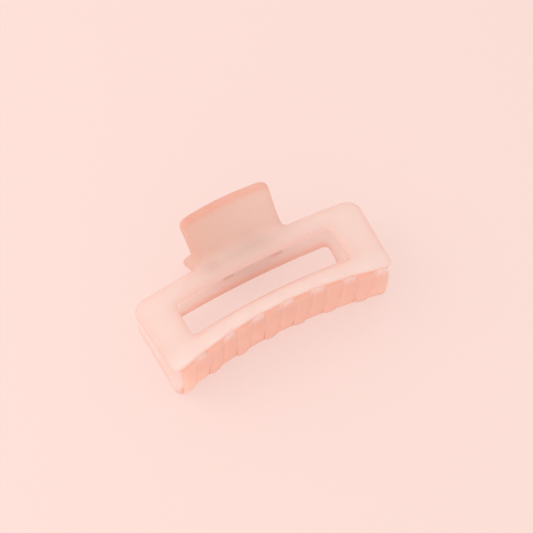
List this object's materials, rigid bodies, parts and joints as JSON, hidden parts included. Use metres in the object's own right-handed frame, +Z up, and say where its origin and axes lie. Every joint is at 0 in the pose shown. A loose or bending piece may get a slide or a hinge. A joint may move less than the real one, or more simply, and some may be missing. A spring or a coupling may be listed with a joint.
{
  "type": "claw clip",
  "caption": "Large rectangular claw clip lying closed: two bowed open-frame plastic jaws with interlocking flat teeth and flared thumb handles, on a sprung hinge pin.",
  "frame": {"origin": "centre of the bounding box's base: the surface that the closed clip lies on, under its rear jaw", "axes": "+X along the clip and its hinge pin, +Y towards the handles, +Z up through the front jaw"},
  "size_m": [0.1042, 0.0604, 0.0441],
  "materials": {
    "jaw_plastic": "satin moulded peach-pink plastic, slightly translucent",
    "pin_steel": "drawn nickel-plated steel pin with formed heads",
    "spring_steel": "bright drawn spring wire"
  },
  "bodies": {
    "rear_jaw": {"rear_jaw": "jaw_plastic", "hinge_pin": "pin_steel", "torsion_spring": "spring_steel"},
    "front_jaw": {"front_jaw": "jaw_plastic"}
  },
  "joints": [
    {"name": "jaw_hinge", "type": "hinge", "parent": "rear_jaw", "child": "front_jaw", "pos_m": [0, 0.0083, 0.02041], "axis": [-1, 0, 0], "range_deg": [0, 60], "stiffness_Nm_per_rad": 0.12, "springref_deg": -68.75, "deforming": ["torsion_spring"]}
  ]
}
